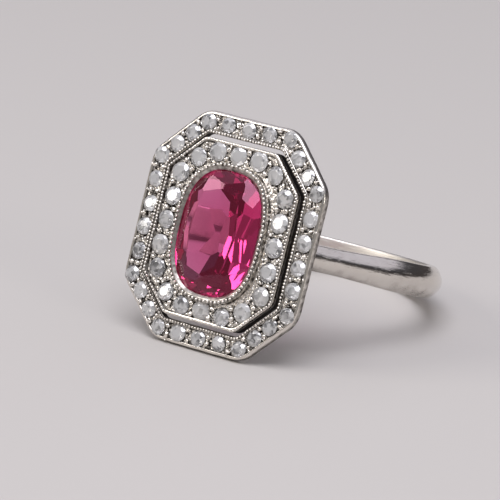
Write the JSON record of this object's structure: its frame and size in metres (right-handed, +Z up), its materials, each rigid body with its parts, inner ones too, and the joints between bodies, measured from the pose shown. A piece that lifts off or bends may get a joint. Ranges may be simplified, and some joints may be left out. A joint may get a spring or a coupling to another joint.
{
  "type": "gemstone ring",
  "caption": "Octagonal plaque finger ring with a cushion-cut red centre stone, pave-set outer frame and inner plate parted by a narrow slot, on a D-section band.",
  "frame": {"origin": "centre of the base of the ring's box as it lies at rest, on the surface it lies on", "axes": "+Z up from that surface, +Y from the plaque back to the shank, the longest way; +X across the plaque"},
  "size_m": [0.0196, 0.0218, 0.0151],
  "materials": {
    "white_metal": "polished white metal, worn by hand",
    "red_stone": "polished facets"
  },
  "bodies": {
    "root": {"mounting": "white_metal", "ruby": "red_stone"}
  },
  "joints": []
}
